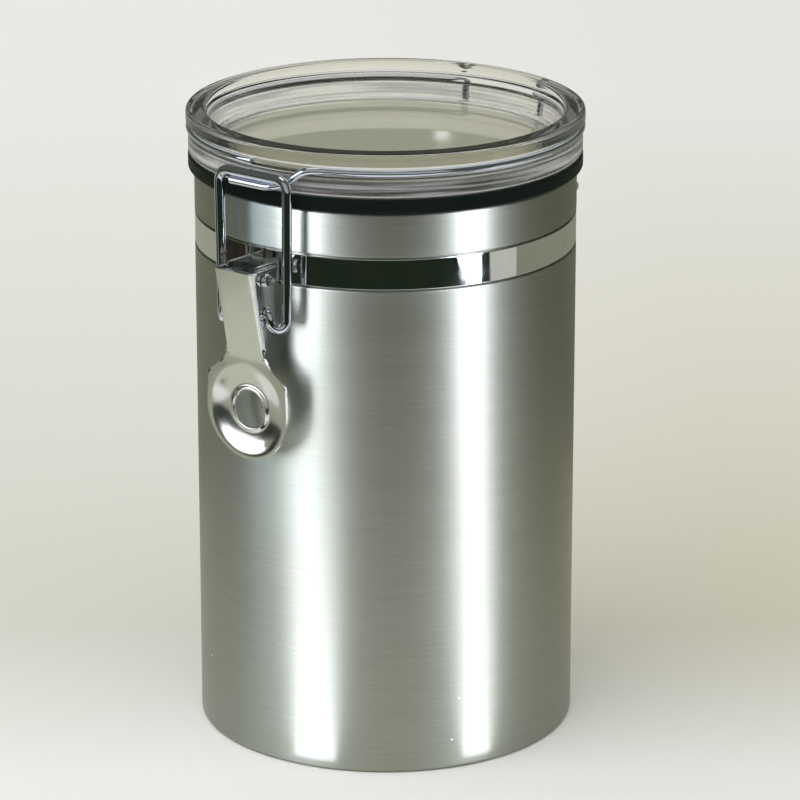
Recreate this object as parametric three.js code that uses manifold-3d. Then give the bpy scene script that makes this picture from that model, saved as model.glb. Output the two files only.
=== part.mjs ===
// Clip-lid storage canister: a brushed steel can, a clear lid on a wire hinge and an over-centre wire latch.
// Millimetres, +Z up. The origin is the centre of the flat base, the latch is on -Y and the hinge on +Y.

import * as THREE from "three";
import { mergeVertices } from "three/addons/utils/BufferGeometryUtils.js";
import Module from "manifold-3d";

const wasm = await Module();
wasm.setup();

// Facets round the turned pieces and the wires, and the gap kept between pieces that touch
const ROUND = 48;
const PIN_ROUND = 16;
const HOLE_ROUND = 12;
const BAIL_ROUND = 10;
const LID_WIRE_ROUND = 8;
const GAP = 0.3;

// Can
const BODY_RADIUS = 61;
const BODY_TOP = 184.8;
const SHEET = 0.8;
const BASE_EDGE = 1.2;
const RIM_BEAD = 1.2;
const BASE_RING_RADIUS = 45.5;
const BASE_RING_WIDTH = 4;
const BASE_RING_DEPTH = 0.6;

// Neck band in its groove
const BAND_BOTTOM = 160.5;
const BAND_TOP = 170.2;
const BAND_THICKNESS = 0.75;
const BAND_INSET = 0.05;
const BAND_OUTER = BODY_RADIUS - BAND_INSET;
const BAND_INNER = BAND_OUTER - BAND_THICKNESS;
const BAND_SPLIT = 1.2;
const BAND_EDGE = 0.22;
const GROOVE_FLOOR = BAND_INNER - GAP;
const GROOVE_SHOULDER = 0.45;
const CUT_LENGTH = 8; // long enough to go right through any sheet

// Lid, gasket and the wire that holds the lid
const LID_TOP = 204;
const LID_RIM_RADIUS = 63.5;
const LID_FLANGE_RADIUS = 62.8;
const LID_FLANGE_BOTTOM = 190;
const LID_DISH_FLOOR = 192.5;
const LID_PLATE_BOTTOM = 188.4;
const LID_DISH_RADIUS = 54.6;
const LID_DISH_BEVEL = { r: 1.3, z: 1.5 };
const LID_RIM_INNER = 57.2;
const LID_RIM_BEVEL = { r: 0.6, z: 0.5 };
const LID_RIM_ROUND = 1;
const LID_FLANGE_BEVEL = 0.8;
const PLUG_RADIUS = 55;
const PLUG_TOP_RADIUS = 55.2;
const PLUG_BEVEL = { r: 0.5, z: 0.6 };
const PLUG_INNER = 51.8;
const PLUG_INNER_TOP = 51.4;
const PLUG_BOTTOM = 184;
const GASKET_RADIUS = 62.9;
const GASKET_BEVEL = 0.7;
const LID_WIRE_RADIUS = 1.2;
const LID_WIRE_RING = 62.3;
const LID_WIRE_Z = 197.95;
const WIRE_GROOVE_RADIUS = 1.45;
const WIRE_GROOVE_EDGE = { below: 0.2, above: 0.5 };
const WIRE_LEAVES_GROOVE = 18.75; // degrees from the front on the catch side, and from the back
const WIRE_END = 3; // degrees from the front on the other side, where the wire ends in the groove

// Latch: the lever turns on pivot A, the bail turns on pivot B in the lever's sides
const PIVOT_A = new THREE.Vector3(0, -70, 163.4);
const PIVOT_B = new THREE.Vector3(0, -69.5, 153);
const LEVER_SHEET = 1;
const LEVER_HALF_WIDTH = 7.5;
const LEVER_TOP = { y: -76.5, z: 166.4 };
const LEVER_BEND = { y: -70.4, z: 136 };
const FLANGE_END_Z = 139.5;
const FLANGE_REAR = { y: -69.8, z: 148.6 }; // where the rear edge starts to widen to the lobe
const FLANGE_LOBE = { y: -65.4, z: 149.6, round: 2.8, top: 159.5 }; // it carries both pivots
const FLANGE_TOP_REAR = -63.6;
const PADDLE_Z = 120.1;
const PADDLE_RADIUS = 15.9;
const SHOULDER_INNER = { x: 9, z: 135.4 };
const SHOULDER_OUTER = { x: 15.5, z: 130.4 };
const PADDLE_DEPTH = { front: -90, back: -50 }; // y, well clear of the sheet on both sides

// The paddle's dish and the lip round its thumb hole: radius, and depth behind the paddle's face
const DISH_RADIUS = 14.4;
const DISH_DEPTH = 1.75;
const DISH_WALL_TOP = { r: 13, depth: 0.45 };
const DISH_WALL_FOOT = { r: 10.5, depth: 1.25 };
const DISH_FLOOR_RADIUS = 8.7;
const DISH_INNER_FOOT = { r: 7.8, depth: 1.5 };
const DISH_BACK_SPREAD = 0.4;
const THUMB_HOLE = 6;
const HOLE_LIP = 7.2;
const HOLE_LIP_DEPTH = 1;
const HOLE_EDGE = { r: 0.4, depth: 0.6 };
const HOLE_WALL = 1.6;
const HOLE_WALL_EDGE = 0.3;
const DISH_ROUND = 28;
const OVERLAP = 0.2;

const LEVER_PIN_RADIUS = 1.2;
const LEVER_PIN_HEAD = 2.1;
const LEVER_PIN_HEAD_LENGTH = 1.4;
const LEVER_PIN_EDGE = 0.7;
const BAIL_RADIUS = 1.6;
const BAIL_TOP = { x: 13.5, y: -66.1, z: 195 };
const BAIL_LEG_FOOT = { x: 12.9, y: -66, z: 150.4 };
const BAIL_HOOK_X = 9.4;
const BAIL_TIP_X = 5.6;
const BAIL_CORNER = 4.6;
const CATCH = { x: 6, y: -66.2, z: BAIL_TOP.z - BAIL_RADIUS - LID_WIRE_RADIUS - GAP };
const CATCH_TIP_X = -9;
const CATCH_BEND = 2.2;
const WIRE_BEHIND_LEG = { x: 10, y: -63.5, rise: 1 };
const WIRE_OUT_OF_GROOVE = { x: 17, y: -62.1 };
const WIRE_BEND = 2;

// Brackets on the band, and the hinge at the back
const BRACKET_SHEET = 1;
const BRACKET_BACK = BAND_OUTER + GAP;
const BRACKET_BOTTOM = BAND_BOTTOM + GAP;
const EAR_REACH = 2.4; // past the pin's axis
const EAR_ROUND = 1.5;
const LATCH_EAR_TOP = 167.6;
const HINGE_EAR_TOP = 169;
const LATCH_BRACKET_HALF = 6.2;
const HINGE_BRACKET_HALF = 21;
const HINGE = new THREE.Vector3(0, 70, 166);
const HINGE_PIN_RADIUS = 1.4;
const HINGE_PIN_END = 1.6;
const HINGE_PIN_HALF = 25;
const HINGE_PIN_EDGE = 0.4;
const EYE_X = 17;
const WIRE_BACK_TURN_Y = 60.1;
const WIRE_BACK_BEND = 2.6;
const WIRE_LEG_BEND = 2.8;
const EYE_END = 380; // degrees: the eye runs from its leg at 180 under the pin to the cross bar
const EYE_RADIUS = HINGE_PIN_RADIUS + GAP + LID_WIRE_RADIUS;
const CROSS_BAR_BEND = 2.2;

const radians = THREE.MathUtils.degToRad;
const point = (x, y, z) => new THREE.Vector3(x, y, z);
const flat = (x, y) => new THREE.Vector2(x, y);

// Solids: joining and cutting closed meshes

function solid(geometry) {
  const bare = new THREE.BufferGeometry();
  bare.setAttribute("position", geometry.getAttribute("position").clone());
  if (geometry.index) bare.setIndex(geometry.index.clone());
  const merged = mergeVertices(bare, 1e-4);
  const vertProperties = new Float32Array(merged.getAttribute("position").array);
  const triVerts = new Uint32Array(merged.index.array);
  return new wasm.Manifold(new wasm.Mesh({ numProp: 3, vertProperties, triVerts }));
}

function surface(manifold) {
  const mesh = manifold.getMesh();
  const geometry = new THREE.BufferGeometry();
  geometry.setAttribute("position", new THREE.BufferAttribute(mesh.vertProperties, 3));
  geometry.setIndex(new THREE.BufferAttribute(mesh.triVerts, 1));
  geometry.computeVertexNormals();
  return geometry;
}

const join = (first, ...others) => others.reduce((sum, each) => sum.add(each), first);
const cut = (first, ...others) => others.reduce((rest, each) => rest.subtract(each), first);

// Shapes: outlines, turned pieces, plates and bent wires

function arc(x, y, radius, fromDegrees, toDegrees, steps) {
  return Array.from({ length: steps + 1 }, (_, i) => {
    const angle = radians(THREE.MathUtils.lerp(fromDegrees, toDegrees, i / steps));
    return flat(x + radius * Math.cos(angle), y + radius * Math.sin(angle));
  });
}

// Turned about Z: the outline is in radius and height, anticlockwise
function turned(outline) {
  return new THREE.LatheGeometry(outline, ROUND).rotateX(Math.PI / 2);
}

// A plate whose outline is in y and z, from one x to another
function sidePlate(outline, fromX, toX, holes = []) {
  const shape = new THREE.Shape(outline);
  for (const { y, z, radius } of holes) {
    shape.holes.push(new THREE.Path(arc(y, z, radius, 360, 360 / HOLE_ROUND, HOLE_ROUND - 1)));
  }
  const axes = new THREE.Matrix4().makeBasis(point(0, 1, 0), point(0, 0, 1), point(1, 0, 0));
  const plate = new THREE.ExtrudeGeometry(shape, { depth: toX - fromX, bevelEnabled: false });
  return plate.applyMatrix4(axes).translate(fromX, 0, 0);
}

// A plate whose outline is in x and z, from one y to another
function frontPlate(outline, fromY, toY) {
  const shape = new THREE.Shape(outline);
  const plate = new THREE.ExtrudeGeometry(shape, { depth: toY - fromY, bevelEnabled: false });
  return plate.rotateX(Math.PI / 2).translate(0, toY, 0);
}

// A path that is stepped one point at a time
class PointPath extends THREE.Curve {
  constructor(points) {
    super();
    this.points = points;
  }

  index(u) {
    return Math.round(u * (this.points.length - 1));
  }

  getPointAt(u) {
    return this.points[this.index(u)].clone();
  }

  getTangentAt(u) {
    const i = this.index(u);
    const before = this.points[Math.max(i - 1, 0)];
    const after = this.points[Math.min(i + 1, this.points.length - 1)];
    return after.clone().sub(before).normalize();
  }
}

function wire(points, radius, round) {
  const section = new THREE.Shape(arc(0, 0, radius, 0, 360 - 360 / round, round - 1));
  const extrudePath = new PointPath(points);
  const settings = { steps: points.length - 1, extrudePath, bevelEnabled: false };
  return new THREE.ExtrudeGeometry(section, settings);
}

// A bend at a corner: it starts and ends at the given distance from the corner
function bend(before, corner, after, distance, steps) {
  const start = before.clone().sub(corner).setLength(distance).add(corner);
  const end = after.clone().sub(corner).setLength(distance).add(corner);
  return new THREE.QuadraticBezierCurve3(start, corner, end).getPoints(steps);
}

// A half path and its mirror image across x = 0, as one path from the -X end to the +X end
function mirroredPath(half) {
  const other = half.map((p) => point(-p.x, p.y, p.z)).reverse();
  return [...other, ...half];
}

// Can

function canisterBody() {
  const inner = BODY_RADIUS - SHEET;
  const bead = { r: BODY_RADIUS - RIM_BEAD, z: BODY_TOP - RIM_BEAD };
  const grooveInner = GROOVE_FLOOR - SHEET;
  const ringIn = BASE_RING_RADIUS - BASE_RING_WIDTH / 2;
  const ringOut = BASE_RING_RADIUS + BASE_RING_WIDTH / 2;
  const grooveBottom = BAND_BOTTOM - GAP;
  const grooveTop = BAND_TOP + GAP;
  const ringFloor = SHEET + BASE_RING_DEPTH;
  const outline = [
    flat(0, 0),
    flat(ringIn, 0),
    flat(ringIn + SHEET, BASE_RING_DEPTH),
    flat(ringOut - SHEET, BASE_RING_DEPTH),
    flat(ringOut, 0),
    ...arc(BODY_RADIUS - BASE_EDGE, BASE_EDGE, BASE_EDGE, -90, 0, 2),
    flat(BODY_RADIUS, grooveBottom - GROOVE_SHOULDER),
    flat(GROOVE_FLOOR, grooveBottom),
    flat(GROOVE_FLOOR, grooveTop),
    flat(BODY_RADIUS, grooveTop + GROOVE_SHOULDER),
    ...arc(bead.r, bead.z, RIM_BEAD, 0, 225, 5),
    flat(inner, bead.z - RIM_BEAD),
    flat(inner, grooveTop + SHEET + GAP),
    flat(grooveInner, grooveTop + GAP),
    flat(grooveInner, grooveBottom - GAP),
    flat(inner, grooveBottom - SHEET - GAP),
    flat(inner, SHEET + BASE_EDGE),
    flat(inner - BASE_EDGE, SHEET),
    flat(ringOut, SHEET),
    flat(ringOut - SHEET, ringFloor),
    flat(ringIn + SHEET, ringFloor),
    flat(ringIn, SHEET),
    flat(0, SHEET),
  ];
  return turned(outline);
}

function neckBand() {
  const outline = [
    flat(BAND_INNER, BAND_BOTTOM),
    flat(BAND_OUTER - BAND_EDGE, BAND_BOTTOM),
    flat(BAND_OUTER, BAND_BOTTOM + BAND_EDGE),
    flat(BAND_OUTER, BAND_TOP - BAND_EDGE),
    flat(BAND_OUTER - BAND_EDGE, BAND_TOP),
    flat(BAND_INNER, BAND_TOP),
    flat(BAND_INNER, BAND_BOTTOM),
  ];
  const bandHeight = BAND_TOP - BAND_BOTTOM;
  const split = new THREE.BoxGeometry(BAND_SPLIT, CUT_LENGTH, 2 * bandHeight);
  split.translate(0, -BODY_RADIUS, BAND_BOTTOM + bandHeight / 2);
  return surface(cut(solid(turned(outline)), solid(split)));
}

// Brackets: a curved base, welded to the band, and two ears that carry a pin, facing -Y

function bracket({ halfWidth, pivot, pinRadius, earTop }) {
  const outer = BRACKET_BACK + BRACKET_SHEET;
  const ringOutline = [
    flat(BRACKET_BACK, BRACKET_BOTTOM),
    flat(outer, BRACKET_BOTTOM),
    flat(outer, earTop),
    flat(BRACKET_BACK, earTop),
    flat(BRACKET_BACK, BRACKET_BOTTOM),
  ];
  const reach = 2 * BODY_RADIUS;
  const window = new THREE.BoxGeometry(2 * halfWidth, reach, reach);
  const base = solid(turned(ringOutline)).intersect(solid(window.translate(0, -reach / 2, BAND_TOP)));
  const rootY = -Math.sqrt(outer ** 2 - halfWidth ** 2) + BRACKET_SHEET / 2;
  const pivotY = -Math.abs(pivot.y);
  const roundY = pivotY - EAR_REACH + EAR_ROUND;
  const earOutline = [
    flat(rootY, BRACKET_BOTTOM),
    flat(rootY, earTop),
    ...arc(roundY, earTop - EAR_ROUND, EAR_ROUND, 90, 180, 4),
    ...arc(roundY, BRACKET_BOTTOM + EAR_ROUND, EAR_ROUND, 180, 270, 4),
  ];
  const hole = { y: pivotY, z: pivot.z, radius: pinRadius + GAP };
  const ears = [-halfWidth, halfWidth - BRACKET_SHEET].map((x) =>
    solid(sidePlate(earOutline, x, x + BRACKET_SHEET, [hole])),
  );
  return surface(join(base, ...ears));
}

// A pin along X with an upset end on both sides
function headedPin(radius, headRadius, headFrom, half, edge) {
  const end = [
    flat(radius, headFrom),
    flat(headRadius, headFrom),
    flat(headRadius, half - edge),
    flat(headRadius - edge, half),
    flat(0, half),
  ];
  const start = end.map((p) => flat(p.x, -p.y)).reverse();
  return new THREE.LatheGeometry([...start, ...end], PIN_ROUND).rotateZ(-Math.PI / 2);
}

// Lever: a channel that leans in to a dished paddle

// y of the lever's outer face at a height on its stem
function leverFace(z) {
  const share = (z - LEVER_BEND.z) / (LEVER_TOP.z - LEVER_BEND.z);
  return THREE.MathUtils.lerp(LEVER_BEND.y, LEVER_TOP.y, share);
}

function leverOutline() {
  const right = [
    ...arc(0, PADDLE_Z, PADDLE_RADIUS, -90, 0, 8),
    flat(SHOULDER_OUTER.x, SHOULDER_OUTER.z),
    flat(SHOULDER_INNER.x, SHOULDER_INNER.z),
    flat(LEVER_HALF_WIDTH, SHOULDER_INNER.z + SHOULDER_INNER.x - LEVER_HALF_WIDTH),
    flat(LEVER_HALF_WIDTH, LEVER_TOP.z),
  ];
  const left = right.slice(1).map((p) => flat(-p.x, p.y)).reverse();
  return [...right, ...left];
}

function leverFlangeOutline() {
  const mid = LEVER_SHEET / 2;
  const { y, z, round, top } = FLANGE_LOBE;
  return [
    flat(FLANGE_TOP_REAR, LEVER_TOP.z),
    flat(leverFace(LEVER_TOP.z) + mid, LEVER_TOP.z),
    flat(leverFace(FLANGE_END_Z) + mid, FLANGE_END_Z),
    flat(leverFace(FLANGE_END_Z) + LEVER_SHEET, FLANGE_END_Z),
    flat(FLANGE_REAR.y, FLANGE_REAR.z),
    ...arc(y - round, z + round, round, -90, 0, 4),
    flat(y, top),
  ];
}

// The dish is turned about the paddle's own axis: radius, then depth behind the paddle's face
function paddleDish() {
  const edge = DISH_RADIUS + OVERLAP;
  const wallEnd = HOLE_LIP_DEPTH + HOLE_WALL;
  const front = [
    flat(edge, 0),
    flat(DISH_WALL_TOP.r, DISH_WALL_TOP.depth),
    flat(DISH_WALL_FOOT.r, DISH_WALL_FOOT.depth),
    flat(DISH_FLOOR_RADIUS, DISH_DEPTH),
    flat(DISH_INNER_FOOT.r, DISH_INNER_FOOT.depth),
    flat(HOLE_LIP, HOLE_LIP_DEPTH),
    flat(THUMB_HOLE + HOLE_EDGE.r, HOLE_LIP_DEPTH),
    flat(THUMB_HOLE, HOLE_LIP_DEPTH + HOLE_EDGE.depth),
  ];
  const back = [
    flat(THUMB_HOLE, wallEnd),
    flat(THUMB_HOLE + LEVER_SHEET, wallEnd),
    flat(HOLE_LIP + HOLE_EDGE.r, wallEnd - HOLE_WALL_EDGE),
    flat(DISH_FLOOR_RADIUS, DISH_DEPTH + LEVER_SHEET),
    flat(DISH_WALL_FOOT.r + DISH_BACK_SPREAD, DISH_WALL_FOOT.depth + LEVER_SHEET),
    flat(DISH_WALL_TOP.r + DISH_BACK_SPREAD, DISH_WALL_TOP.depth + LEVER_SHEET),
    flat(edge, LEVER_SHEET),
  ];
  const outline = [...front, ...back, front[0].clone()].reverse();
  return new THREE.LatheGeometry(outline, DISH_ROUND).translate(0, LEVER_BEND.y, PADDLE_Z);
}

function lever() {
  const low = PADDLE_Z - 2 * PADDLE_RADIUS;
  const side = [
    flat(LEVER_TOP.y, LEVER_TOP.z),
    flat(LEVER_BEND.y, LEVER_BEND.z),
    flat(LEVER_BEND.y, low),
    flat(LEVER_BEND.y + LEVER_SHEET, low),
    flat(LEVER_BEND.y + LEVER_SHEET, LEVER_BEND.z),
    flat(LEVER_TOP.y + LEVER_SHEET, LEVER_TOP.z),
  ];
  const sheet = solid(sidePlate(side, -2 * PADDLE_RADIUS, 2 * PADDLE_RADIUS));
  const face = frontPlate(leverOutline(), PADDLE_DEPTH.front, PADDLE_DEPTH.back);
  const web = sheet.intersect(solid(face));
  const opening = new THREE.CylinderGeometry(DISH_RADIUS, DISH_RADIUS, CUT_LENGTH, DISH_ROUND);
  opening.translate(0, LEVER_BEND.y, PADDLE_Z);
  const holes = [
    { y: PIVOT_A.y, z: PIVOT_A.z, radius: LEVER_PIN_RADIUS + GAP },
    { y: PIVOT_B.y, z: PIVOT_B.z, radius: BAIL_RADIUS + GAP },
  ];
  const flanges = [-LEVER_HALF_WIDTH, LEVER_HALF_WIDTH - LEVER_SHEET].map((x) =>
    solid(sidePlate(leverFlangeOutline(), x, x + LEVER_SHEET, holes)),
  );
  return surface(join(cut(web, solid(opening)), solid(paddleDish()), ...flanges));
}

// Bail: a wire loop whose legs end in hooks that turn up and into the lever's sides

function bailPath() {
  const tip = point(BAIL_TIP_X, PIVOT_B.y, PIVOT_B.z);
  const elbow = point(BAIL_HOOK_X, PIVOT_B.y, PIVOT_B.z);
  const hookTop = point(BAIL_HOOK_X, PIVOT_B.y, BAIL_LEG_FOOT.z);
  const legFoot = point(BAIL_LEG_FOOT.x, BAIL_LEG_FOOT.y, BAIL_LEG_FOOT.z);
  const corner = point(BAIL_TOP.x, BAIL_TOP.y, BAIL_TOP.z);
  const middle = point(0, BAIL_TOP.y, BAIL_TOP.z);
  const centre = hookTop.clone().lerp(legFoot, 0.5);
  const across = legFoot.clone().sub(centre);
  const hook = arc(0, 0, 1, 180, 360, 8).map((p) =>
    centre.clone().addScaledVector(across, p.x).add(point(0, 0, p.y * across.length())),
  );
  const elbowCut = PIVOT_B.z - BAIL_LEG_FOOT.z;
  const half = [
    tip,
    ...bend(tip, elbow, hookTop, elbowCut, 4).slice(0, -1),
    ...hook,
    ...bend(legFoot, corner, middle, BAIL_CORNER, 6),
  ];
  return mirroredPath(half.reverse());
}

// Lid

function lid() {
  const grooveLow = LID_WIRE_Z - WIRE_GROOVE_RADIUS - WIRE_GROOVE_EDGE.below;
  const grooveHigh = LID_WIRE_Z + WIRE_GROOVE_RADIUS + WIRE_GROOVE_EDGE.above;
  const rim = { r: LID_RIM_RADIUS - LID_RIM_ROUND, z: LID_TOP - LID_RIM_ROUND };
  const outline = [
    flat(0, LID_PLATE_BOTTOM),
    flat(PLUG_INNER_TOP, LID_PLATE_BOTTOM),
    flat(PLUG_INNER, PLUG_BOTTOM),
    flat(PLUG_RADIUS - PLUG_BEVEL.r, PLUG_BOTTOM),
    flat(PLUG_RADIUS, PLUG_BOTTOM + PLUG_BEVEL.z),
    flat(PLUG_TOP_RADIUS, LID_FLANGE_BOTTOM),
    flat(LID_FLANGE_RADIUS - LID_FLANGE_BEVEL, LID_FLANGE_BOTTOM),
    flat(LID_FLANGE_RADIUS, LID_FLANGE_BOTTOM + LID_FLANGE_BEVEL),
    flat(LID_FLANGE_RADIUS, grooveLow),
    ...arc(LID_WIRE_RING, LID_WIRE_Z, WIRE_GROOVE_RADIUS, 280, 80, 5),
    flat(LID_RIM_RADIUS, grooveHigh),
    ...arc(rim.r, rim.z, LID_RIM_ROUND, 0, 90, 3),
    flat(LID_RIM_INNER, LID_TOP),
    flat(LID_RIM_INNER - LID_RIM_BEVEL.r, LID_TOP - LID_RIM_BEVEL.z),
    flat(LID_DISH_RADIUS, LID_DISH_FLOOR + LID_DISH_BEVEL.z),
    flat(LID_DISH_RADIUS - LID_DISH_BEVEL.r, LID_DISH_FLOOR),
    flat(0, LID_DISH_FLOOR),
  ];
  return turned(outline);
}

function gasket() {
  const bottom = BODY_TOP + GAP;
  const top = LID_FLANGE_BOTTOM - GAP;
  const inner = PLUG_TOP_RADIUS + GAP;
  const outline = [
    flat(inner, bottom),
    flat(GASKET_RADIUS - GASKET_BEVEL, bottom),
    flat(GASKET_RADIUS, bottom + GASKET_BEVEL),
    flat(GASKET_RADIUS, top - GASKET_BEVEL),
    flat(GASKET_RADIUS - GASKET_BEVEL, top),
    flat(inner, top),
    flat(inner, bottom),
  ];
  return turned(outline);
}

// Lid wire: one wire that ends in the groove beside the front, runs round to an eye on the hinge pin,
// across to the other eye, round the other side and out of the groove to the catch under the bail

function lidWirePath() {
  const ring = (degrees) => {
    const angle = radians(degrees);
    return point(LID_WIRE_RING * Math.sin(angle), -LID_WIRE_RING * Math.cos(angle), LID_WIRE_Z);
  };
  const facet = 360 / ROUND;
  const groove = (fromDegrees, toDegrees) => {
    const first = Math.ceil(fromDegrees / facet);
    const last = Math.floor(toDegrees / facet);
    return Array.from({ length: last - first + 1 }, (_, i) => ring((first + i) * facet));
  };
  const backLeaves = 180 - WIRE_LEAVES_GROOVE;
  const backEntry = ring(backLeaves);
  const legY = HINGE.y - EYE_RADIUS;
  const backTurn = point(EYE_X, WIRE_BACK_TURN_Y, LID_WIRE_Z);
  const legTop = point(EYE_X, legY, LID_WIRE_Z);
  const legFoot = point(EYE_X, legY, HINGE.z);
  const eye = arc(HINGE.y, HINGE.z, EYE_RADIUS, 180, EYE_END, 10).map((p) => point(EYE_X, p.x, p.y));
  const eyeEnd = eye.pop();
  const along = radians(EYE_END + 90);
  const onward = point(0, Math.cos(along), Math.sin(along)).multiplyScalar(CROSS_BAR_BEND);
  const barEnd = eyeEnd.clone().add(onward);
  const barMiddle = point(0, barEnd.y, barEnd.z);
  const back = [
    backEntry,
    ...bend(backEntry, backTurn, legTop, WIRE_BACK_BEND, 4),
    ...bend(backTurn, legTop, legFoot, WIRE_LEG_BEND, 4),
    ...eye,
    ...bend(eyeEnd, barEnd, barMiddle, CROSS_BAR_BEND, 4),
  ];
  const catchTip = point(CATCH_TIP_X, CATCH.y, CATCH.z);
  const catchCorner = point(CATCH.x, CATCH.y, CATCH.z);
  const behindLeg = point(WIRE_BEHIND_LEG.x, WIRE_BEHIND_LEG.y, CATCH.z + WIRE_BEHIND_LEG.rise);
  const outOfGroove = point(WIRE_OUT_OF_GROOVE.x, WIRE_OUT_OF_GROOVE.y, LID_WIRE_Z);
  const frontEntry = ring(WIRE_LEAVES_GROOVE);
  const catchSide = [
    catchTip,
    ...bend(catchTip, catchCorner, behindLeg, CATCH_BEND, 3),
    ...bend(catchCorner, behindLeg, outOfGroove, WIRE_BEND, 3),
    ...bend(behindLeg, outOfGroove, frontEntry, WIRE_BEND, 3),
    frontEntry,
    ...groove(WIRE_LEAVES_GROOVE, backLeaves),
    ...back,
  ];
  const plainSide = [ring(WIRE_END), ...groove(WIRE_END, backLeaves), ...back];
  const mirrored = plainSide.map((p) => point(-p.x, p.y, p.z));
  return [...mirrored, ...catchSide.reverse()];
}

// Materials and the assembly

const brushedSteel = { color: 0xb3b4a9, roughness: 0.38, metalness: 1 };
const chrome = { color: 0xd6d8d8, roughness: 0.1, metalness: 1 };
const rubber = { color: 0x15181a, roughness: 0.55, metalness: 0 };
const clearPlastic = { color: 0xe8ebe6, roughness: 0.05, metalness: 0, transparent: true, opacity: 0.35 };

function part(name, geometry, finish) {
  const mesh = new THREE.Mesh(geometry, new THREE.MeshStandardMaterial(finish));
  mesh.name = name;
  return mesh;
}

function latchAssembly() {
  const group = new THREE.Group();
  const plate = bracket({
    halfWidth: LATCH_BRACKET_HALF,
    pivot: PIVOT_A,
    pinRadius: LEVER_PIN_RADIUS,
    earTop: LATCH_EAR_TOP,
  });
  group.add(part("latch_bracket", plate, chrome));
  const headFrom = LEVER_HALF_WIDTH + GAP;
  const half = headFrom + LEVER_PIN_HEAD_LENGTH;
  const pinShape = headedPin(LEVER_PIN_RADIUS, LEVER_PIN_HEAD, headFrom, half, LEVER_PIN_EDGE);
  const pin = part("lever_pin", pinShape, chrome);
  pin.position.copy(PIVOT_A);
  group.add(pin);
  group.add(part("lever", lever(), chrome));
  group.add(part("bail", wire(bailPath(), BAIL_RADIUS, BAIL_ROUND), chrome));
  return group;
}

function hingeAssembly() {
  const group = new THREE.Group();
  const plate = bracket({
    halfWidth: HINGE_BRACKET_HALF,
    pivot: HINGE,
    pinRadius: HINGE_PIN_RADIUS,
    earTop: HINGE_EAR_TOP,
  });
  const mesh = part("hinge_bracket", plate, chrome);
  mesh.rotation.z = Math.PI;
  group.add(mesh);
  const headFrom = HINGE_BRACKET_HALF + GAP;
  const pinShape = headedPin(HINGE_PIN_RADIUS, HINGE_PIN_END, headFrom, HINGE_PIN_HALF, HINGE_PIN_EDGE);
  const pin = part("hinge_pin", pinShape, chrome);
  pin.position.copy(HINGE);
  group.add(pin);
  return group;
}

function lidAssembly() {
  const group = new THREE.Group();
  group.add(part("lid", lid(), clearPlastic));
  group.add(part("gasket", gasket(), rubber));
  group.add(part("lid_wire", wire(lidWirePath(), LID_WIRE_RADIUS, LID_WIRE_ROUND), chrome));
  return group;
}

const canister = new THREE.Group();
canister.add(part("canister_body", canisterBody(), brushedSteel));
canister.add(part("neck_band", neckBand(), chrome));
canister.add(latchAssembly());
canister.add(hingeAssembly());
canister.add(lidAssembly());

export default canister;
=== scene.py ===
"""Looks of a clip-lid storage canister.

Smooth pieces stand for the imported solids, and the scene adds their finishes, studio light and the camera.
"""

import math

import bmesh
import bpy
from mathutils import Matrix, Vector


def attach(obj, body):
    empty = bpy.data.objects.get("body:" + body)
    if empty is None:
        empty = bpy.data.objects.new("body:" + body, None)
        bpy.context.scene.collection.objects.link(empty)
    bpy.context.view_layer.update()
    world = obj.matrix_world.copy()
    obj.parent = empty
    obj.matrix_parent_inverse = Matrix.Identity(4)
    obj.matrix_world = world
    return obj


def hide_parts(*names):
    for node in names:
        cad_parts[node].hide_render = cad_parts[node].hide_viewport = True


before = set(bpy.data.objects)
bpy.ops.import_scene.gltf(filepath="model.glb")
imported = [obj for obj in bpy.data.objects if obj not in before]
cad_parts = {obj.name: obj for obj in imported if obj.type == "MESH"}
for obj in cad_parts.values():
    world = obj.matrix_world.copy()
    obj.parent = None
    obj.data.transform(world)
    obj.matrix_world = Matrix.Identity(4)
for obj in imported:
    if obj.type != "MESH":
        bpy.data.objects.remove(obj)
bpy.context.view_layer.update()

# Units and fineness. Shapes are in millimetres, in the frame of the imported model.
MM = 0.001
ROUND = 224
SMALL_ROUND = 40
WIRE_ROUND = 24
FINE_STEP = 0.7
ROW_STEP = 0.3
GAP = 0.3

# Wire ends: shares of the radius, and of the depth of the rounded edge
END_DEPTH = 0.3
END_ROUND = ((0.55, 0), (0.86, 0.25), (1, 1))

# Can
BODY_RADIUS = 61
BODY_TOP = 184.8
SHEET = 0.8
BASE_EDGE = 1.4
RIM_BEAD = 1.2
BASE_RING_RADIUS = 45.5
BASE_RING_WIDTH = 4
BASE_RING_DEPTH = 0.6

# Neck band in its groove
BAND_BOTTOM = 160.5
BAND_TOP = 170.2
BAND_OUTER = BODY_RADIUS - 0.05
BAND_INNER = BAND_OUTER - 0.75
BAND_EDGE = 0.22
BAND_SPLIT = 1.2
GROOVE_FLOOR = BAND_INNER - GAP
GROOVE_SHOULDER = 0.45

# Lid and gasket
LID_TOP = 204
LID_RIM_RADIUS = 63.5
LID_FLANGE_RADIUS = 62.8
LID_FLANGE_BOTTOM = 190
LID_DISH_FLOOR = 192.5
LID_PLATE_BOTTOM = 188.4
LID_DISH_RADIUS = 54.6
LID_RIM_INNER = 57.2
PLUG_RADIUS = 55
PLUG_TOP_RADIUS = 55.2
PLUG_INNER = 51.8
PLUG_INNER_TOP = 51.4
PLUG_BOTTOM = 184
GASKET_RADIUS = 62.9
GASKET_BEVEL = 0.7

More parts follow.
